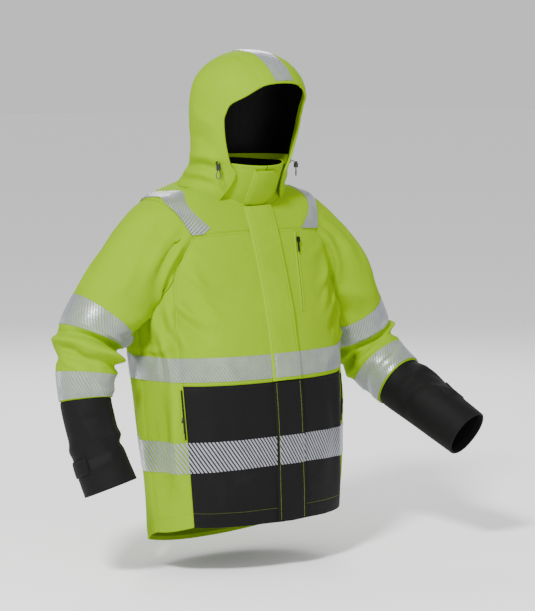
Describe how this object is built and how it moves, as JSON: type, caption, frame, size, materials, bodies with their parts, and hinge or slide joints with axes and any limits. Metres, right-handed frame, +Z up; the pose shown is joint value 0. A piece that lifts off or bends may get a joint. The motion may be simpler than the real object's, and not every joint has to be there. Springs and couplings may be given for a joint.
{
  "type": "hooded high-visibility work coat",
  "caption": "Hooded lined work coat with storm flap over a front zip, zipped pockets, black lower fronts and cuffs, and segmented reflective tape on body, shoulders, sleeves and hood.",
  "frame": {"origin": "middle of the hanger loop's underside, inside the back of the neck", "axes": "+Z up towards the hood's crown; the coat's front faces -Y; the wearer's right arm is at -X"},
  "size_m": [0.8994, 0.4309, 1.0129],
  "materials": {
    "lime_shell": "matt high-visibility woven polyester, coated",
    "black_shell": "matt black woven polyester, coated",
    "black_lining": "quilted taffeta lining",
    "reflective_tape": "segmented retroreflective transfer tape",
    "zip_tape": "woven zip tape with a moulded chain",
    "zip_hardware": "black painted die casting",
    "cord_lock": "moulded acetal"
  },
  "bodies": {
    "coat_body": {"back_panel": "lime_shell", "back_yoke": "lime_shell", "front_right_lower_panel": "black_shell", "front_right_panel": "lime_shell", "front_right_yoke": "lime_shell", "right_side_panel": "lime_shell", "front_left_lower_panel": "black_shell", "front_left_panel": "lime_shell", "front_left_yoke": "lime_shell", "left_side_panel": "lime_shell", "body_lining": "black_lining", "hem_facing": "lime_shell", "lower_body_tape": "reflective_tape", "waist_body_tape": "reflective_tape", "right_shoulder_tape": "reflective_tape", "left_shoulder_tape": "reflective_tape", "front_zip_right_tape": "zip_tape", "front_zip_left_tape": "zip_tape", "collar_shell": "lime_shell", "collar_lining": "black_lining", "hanger_loop": "black_shell", "hood_neck_band": "lime_shell", "right_cord_lock": "cord_lock", "left_cord_lock": "cord_lock", "chest_pocket_zip": "zip_tape", "right_pocket_zip": "zip_tape", "left_pocket_zip": "zip_tape"},
    "hood": {"hood_centre_panel": "lime_shell", "hood_right_panel": "lime_shell", "hood_left_panel": "lime_shell", "hood_lining": "black_lining", "hood_face_facing": "lime_shell", "hood_crown_tape": "reflective_tape"},
    "storm_flap_upper": {"storm_flap_upper": "lime_shell", "flap_waist_tape": "reflective_tape"},
    "storm_flap_lower": {"storm_flap_lower": "black_shell", "flap_lower_tape": "reflective_tape"},
    "chin_flap": {"chin_flap": "lime_shell"},
    "front_zip_slider": {"front_zip_slider": "zip_hardware"},
    "chest_zip_slider": {"chest_zip_slider": "zip_hardware"},
    "chest_zip_pull": {"chest_zip_pull": "zip_hardware"},
    "right_pocket_slider": {"right_pocket_zip_slider": "zip_hardware"},
    "right_pocket_pull": {"right_pocket_zip_pull": "zip_hardware"},
    "right_cord_lock_button": {"right_cord_lock_button": "cord_lock"},
    "right_upper_sleeve": {"right_upper_sleeve": "lime_shell", "right_upper_sleeve_tape": "reflective_tape"},
    "right_forearm_sleeve": {"right_forearm_sleeve": "lime_shell", "right_lower_sleeve_tape": "reflective_tape", "right_cuff_sleeve": "black_shell"},
    "right_cuff_tab": {"right_cuff_tab": "black_shell"},
    "left_pocket_slider": {"left_pocket_zip_slider": "zip_hardware"},
    "left_pocket_pull": {"left_pocket_zip_pull": "zip_hardware"},
    "left_cord_lock_button": {"left_cord_lock_button": "cord_lock"},
    "left_upper_sleeve": {"left_upper_sleeve": "lime_shell", "left_upper_sleeve_tape": "reflective_tape"},
    "left_forearm_sleeve": {"left_forearm_sleeve": "lime_shell", "left_lower_sleeve_tape": "reflective_tape", "left_cuff_sleeve": "black_shell"},
    "left_cuff_tab": {"left_cuff_tab": "black_shell"}
  },
  "joints": [
    {"name": "front_zip_slide", "type": "hinge", "parent": "coat_body", "child": "front_zip_slider", "pos_m": [0, 1.2068, -0.594], "axis": [1, 0, 0], "range_deg": [0, 19.5]},
    {"name": "chest_zip_slide", "type": "slide", "parent": "coat_body", "child": "chest_zip_slider", "axis": [-0.1446, -0.2821, -0.9484], "range_m": [-0.0104, 0.0804]},
    {"name": "chest_pull_swing", "type": "hinge", "parent": "chest_zip_slider", "child": "chest_zip_pull", "pos_m": [0.09198, -0.14293, -0.14425], "axis": [-0.9854, -0.0458, 0.1638], "range_deg": [0, 60]},
    {"name": "right_pocket_zip_slide", "type": "slide", "parent": "coat_body", "child": "right_pocket_slider", "axis": [0.0364, -0.0853, -0.9957], "range_m": [-0.0502, 0.008]},
    {"name": "right_pocket_pull_swing", "type": "hinge", "parent": "right_pocket_slider", "child": "right_pocket_pull", "pos_m": [-0.21635, -0.14279, -0.48836], "axis": [-0.6199, 0.7796, -0.0895], "range_deg": [0, 60]},
    {"name": "left_pocket_zip_slide", "type": "slide", "parent": "coat_body", "child": "left_pocket_slider", "axis": [-0.0364, -0.0853, -0.9957], "range_m": [-0.0502, 0.008]},
    {"name": "left_pocket_pull_swing", "type": "hinge", "parent": "left_pocket_slider", "child": "left_pocket_pull", "pos_m": [0.21635, -0.14279, -0.48836], "axis": [-0.6199, -0.7796, 0.0895], "range_deg": [0, 60]},
    {"name": "storm_flap_swing", "type": "hinge", "parent": "coat_body", "child": "storm_flap_upper", "pos_m": [-0.03118, -0.17448, -0.23547], "axis": [-0.0005, -0.2558, -0.9667], "range_deg": [0, 95]},
    {"name": "storm_flap_lower_swing", "type": "hinge", "parent": "coat_body", "child": "storm_flap_lower", "pos_m": [-0.03133, -0.22067, -0.55763], "axis": [-0.0004, -0.0558, -0.9984], "range_deg": [0, 95]},
    {"name": "chin_flap_swing", "type": "hinge", "parent": "coat_body", "child": "chin_flap", "pos_m": [-0.03133, -0.12991, -0.02941], "axis": [0.0042, 0.4763, -0.8793], "range_deg": [0, 100]},
    {"name": "hood_tilt", "type": "hinge", "parent": "coat_body", "child": "hood", "pos_m": [0, 0.038, -0.009], "axis": [-1, 0, 0], "range_deg": [0, 25]},
    {"name": "right_cord_lock_press", "type": "slide", "parent": "coat_body", "child": "right_cord_lock_button", "axis": [0, 0, -1], "range_m": [0, 0.0025], "stiffness_N_per_m": 400},
    {"name": "left_cord_lock_press", "type": "slide", "parent": "coat_body", "child": "left_cord_lock_button", "axis": [0, 0, -1], "range_m": [0, 0.0025], "stiffness_N_per_m": 400},
    {"name": "right_shoulder_raise", "type": "hinge", "parent": "coat_body", "child": "right_upper_sleeve", "pos_m": [-0.203, -0.043, -0.047], "axis": [0, 1, 0], "range_deg": [0, 24]},
    {"name": "right_elbow_bend", "type": "hinge", "parent": "right_upper_sleeve", "child": "right_forearm_sleeve", "pos_m": [-0.34735, -0.07254, -0.3458], "axis": [-0.9614, 0, 0.2752], "range_deg": [0, 50]},
    {"name": "right_cuff_tab_lift", "type": "hinge", "parent": "right_forearm_sleeve", "child": "right_cuff_tab", "pos_m": [-0.40668, -0.07552, -0.56083], "axis": [-0.1338, 0.3479, 0.9279], "range_deg": [0, 80]},
    {"name": "left_shoulder_raise", "type": "hinge", "parent": "coat_body", "child": "left_upper_sleeve", "pos_m": [0.208, -0.043, -0.049], "axis": [0, -1, 0], "range_deg": [0, 24]},
    {"name": "left_elbow_bend", "type": "hinge", "parent": "left_upper_sleeve", "child": "left_forearm_sleeve", "pos_m": [0.35616, -0.11531, -0.35441], "axis": [-0.9261, 0, -0.3773], "range_deg": [0, 40]},
    {"name": "left_cuff_tab_lift", "type": "hinge", "parent": "left_forearm_sleeve", "child": "left_cuff_tab", "pos_m": [0.45023, -0.24148, -0.47015], "axis": [0.2009, -0.838, -0.5074], "range_deg": [0, 80]}
  ],
  "couplings": [
    {"joint": "storm_flap_lower_swing", "follows": "storm_flap_swing", "ratio": 1}
  ]
}
